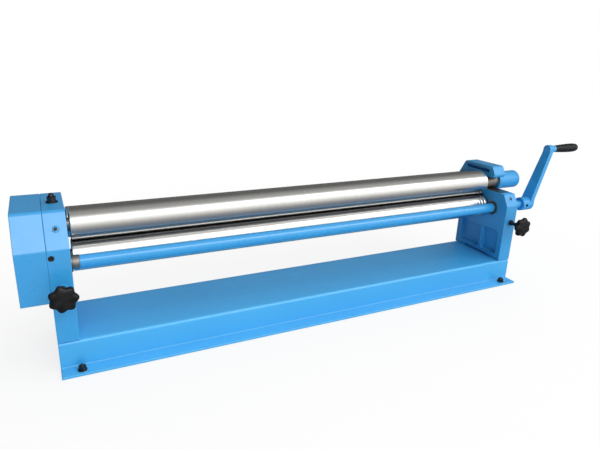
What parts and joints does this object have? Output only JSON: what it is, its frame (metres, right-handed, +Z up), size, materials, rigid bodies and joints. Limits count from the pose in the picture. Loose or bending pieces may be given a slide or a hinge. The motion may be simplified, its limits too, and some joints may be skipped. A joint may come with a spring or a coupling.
{
  "type": "slip roll machine",
  "caption": "Hand-cranked slip roll for sheet metal: pinch rolls and a bending roll between side frames on a folded base, with a swing-out upper roll and a covered gear train.",
  "frame": {"origin": "centre of the base footprint, on the plane the machine stands on", "axes": "+X along the rolls towards the crank, +Y to the rear, +Z up"},
  "size_m": [1.7243, 0.3707, 0.4297],
  "materials": {
    "blue_paint": "gloss",
    "roll_steel": "polished",
    "machined_steel": "satin",
    "gear_steel": "satin",
    "fastener_steel": "satin",
    "bronze": "satin",
    "black_plastic": "gloss"
  },
  "bodies": {
    "frame": {"base_channel": "blue_paint", "hold_down_bolts": "fastener_steel", "left_frame": "blue_paint", "right_frame": "blue_paint", "oil_cups": "fastener_steel", "gear_cover": "blue_paint", "cover_screws": "fastener_steel", "idler_stud": "machined_steel", "idler_ring": "fastener_steel", "drive_bushes": "bronze", "front_gland_left": "machined_steel", "front_gland_right": "machined_steel", "pivot_bolt": "fastener_steel", "pivot_lock_nut": "fastener_steel", "pivot_pin": "machined_steel"},
    "crank": {"crank_arm": "blue_paint", "crank_set_screw": "fastener_steel", "crank_shaft": "machined_steel", "drive_tube": "blue_paint", "left_drive_shaft": "machined_steel", "drive_collar": "machined_steel", "collar_set_screw": "fastener_steel", "drive_gear": "gear_steel", "drive_gear_nut": "fastener_steel", "grip_spindle": "machined_steel"},
    "grip_sleeve": {"grip": "black_plastic"},
    "idler": {"idler_gear": "gear_steel", "idler_bush": "bronze"},
    "lower_carrier": {"lower_block_left": "machined_steel", "lower_block_right": "machined_steel"},
    "lower_bushings": {"lower_bushes": "bronze"},
    "lower_roll_set": {"lower_roll": "roll_steel", "lower_pinion": "gear_steel", "lower_pinion_nut": "fastener_steel"},
    "wedge_left": {"front_wedge_left": "machined_steel"},
    "wedge_right": {"front_wedge_right": "machined_steel"},
    "front_adjuster_left": {"front_knob_left": "black_plastic", "front_screw_left": "machined_steel"},
    "front_adjuster_right": {"front_knob_right": "black_plastic", "front_screw_right": "machined_steel"},
    "rear_carrier": {"rear_block_left": "machined_steel", "rear_block_right": "machined_steel", "rear_bushes": "bronze"},
    "rear_roll_set": {"rear_roll": "roll_steel"},
    "rear_adjuster_left": {"rear_knob_left": "black_plastic", "rear_screw_left": "machined_steel"},
    "rear_adjuster_right": {"rear_knob_right": "black_plastic", "rear_screw_right": "machined_steel"},
    "swing_bearing": {"upper_left_block": "machined_steel", "upper_bush": "bronze"},
    "upper_roll_set": {"upper_roll": "roll_steel", "upper_pinion": "gear_steel", "upper_pinion_nut": "fastener_steel"},
    "release": {"release_sleeve": "machined_steel", "release_handle": "blue_paint"}
  },
  "joints": [
    {"name": "crank_turn", "type": "hinge", "parent": "frame", "child": "crank", "pos_m": [0, -0.04239, 0.2355], "axis": [1, 0, 0], "continuous": true},
    {"name": "grip_spin", "type": "hinge", "parent": "crank", "child": "grip_sleeve", "pos_m": [0.92, -0.04239, 0.4155], "axis": [1, 0, 0], "continuous": true},
    {"name": "idler_turn", "type": "hinge", "parent": "frame", "child": "idler", "pos_m": [-0.708, -0.04239, 0.3055], "axis": [1, 0, 0], "continuous": true},
    {"name": "lower_lift", "type": "slide", "parent": "frame", "child": "lower_carrier", "axis": [0, 0, 1], "range_m": [-0.002, 0]},
    {"name": "wedge_left_slide", "type": "slide", "parent": "frame", "child": "wedge_left", "axis": [0, 1, 0], "range_m": [-0.015, 0]},
    {"name": "wedge_right_slide", "type": "slide", "parent": "frame", "child": "wedge_right", "axis": [0, 1, 0], "range_m": [-0.015, 0]},
    {"name": "front_knob_left_turn", "type": "hinge", "parent": "frame", "child": "front_adjuster_left", "pos_m": [-0.659, -0.14, 0.2], "axis": [0, 1, 0], "range_deg": [-2700, 0]},
    {"name": "front_knob_right_turn", "type": "hinge", "parent": "frame", "child": "front_adjuster_right", "pos_m": [0.659, -0.14, 0.2], "axis": [0, 1, 0], "range_deg": [-2700, 0]},
    {"name": "lower_bushing_creep", "type": "hinge", "parent": "lower_carrier", "child": "lower_bushings", "pos_m": [0, 0.0125, 0.232], "axis": [1, 0, 0], "range_deg": [-5.75, 0]},
    {"name": "lower_roll_turn", "type": "hinge", "parent": "lower_bushings", "child": "lower_roll_set", "pos_m": [0, 0.0125, 0.232], "axis": [1, 0, 0], "continuous": true},
    {"name": "rear_lift", "type": "slide", "parent": "frame", "child": "rear_carrier", "axis": [0, -0.5519, 0.8339], "range_m": [-0.01, 0.02]},
    {"name": "rear_roll_turn", "type": "hinge", "parent": "rear_carrier", "child": "rear_roll_set", "pos_m": [0, 0.1005, 0.286], "axis": [1, 0, 0], "continuous": true},
    {"name": "rear_knob_left_turn", "type": "hinge", "parent": "rear_carrier", "child": "rear_adjuster_left", "pos_m": [-0.659, 0.1005, 0.286], "axis": [0, -0.5519, 0.8339], "range_deg": [-1440, 2880]},
    {"name": "rear_knob_right_turn", "type": "hinge", "parent": "rear_carrier", "child": "rear_adjuster_right", "pos_m": [0.659, 0.1005, 0.286], "axis": [0, -0.5519, 0.8339], "range_deg": [-1440, 2880]},
    {"name": "upper_roll_swing", "type": "hinge", "parent": "frame", "child": "swing_bearing", "pos_m": [-0.658, 0.0125, 0.309], "axis": [0, 0, -1], "range_deg": [0, 10]},
    {"name": "upper_roll_turn", "type": "hinge", "parent": "swing_bearing", "child": "upper_roll_set", "pos_m": [0, 0.0125, 0.309], "axis": [1, 0, 0], "continuous": true},
    {"name": "release_slide", "type": "slide", "parent": "swing_bearing", "child": "release", "axis": [1, 0, 0], "range_m": [0, 0.05]}
  ],
  "couplings": [
    {"joint": "idler_turn", "follows": "crank_turn", "ratio": -1},
    {"joint": "lower_roll_turn", "follows": "crank_turn", "ratio": -1.75},
    {"joint": "upper_roll_turn", "follows": "crank_turn", "ratio": 1.75},
    {"joint": "front_knob_left_turn", "follows": "lower_lift", "rad_per_m": 23562},
    {"joint": "front_knob_right_turn", "follows": "lower_lift", "rad_per_m": 23562},
    {"joint": "wedge_left_slide", "follows": "lower_lift", "ratio": 7.5},
    {"joint": "wedge_right_slide", "follows": "lower_lift", "ratio": 7.5},
    {"joint": "lower_bushing_creep", "follows": "lower_lift", "rad_per_m": 49.77},
    {"joint": "rear_knob_left_turn", "follows": "rear_lift", "rad_per_m": 2513.3},
    {"joint": "rear_knob_right_turn", "follows": "rear_lift", "rad_per_m": 2513.3},
    {"joint": "release_slide", "follows": "upper_roll_swing", "m_per_rad": 0.2864}
  ]
}
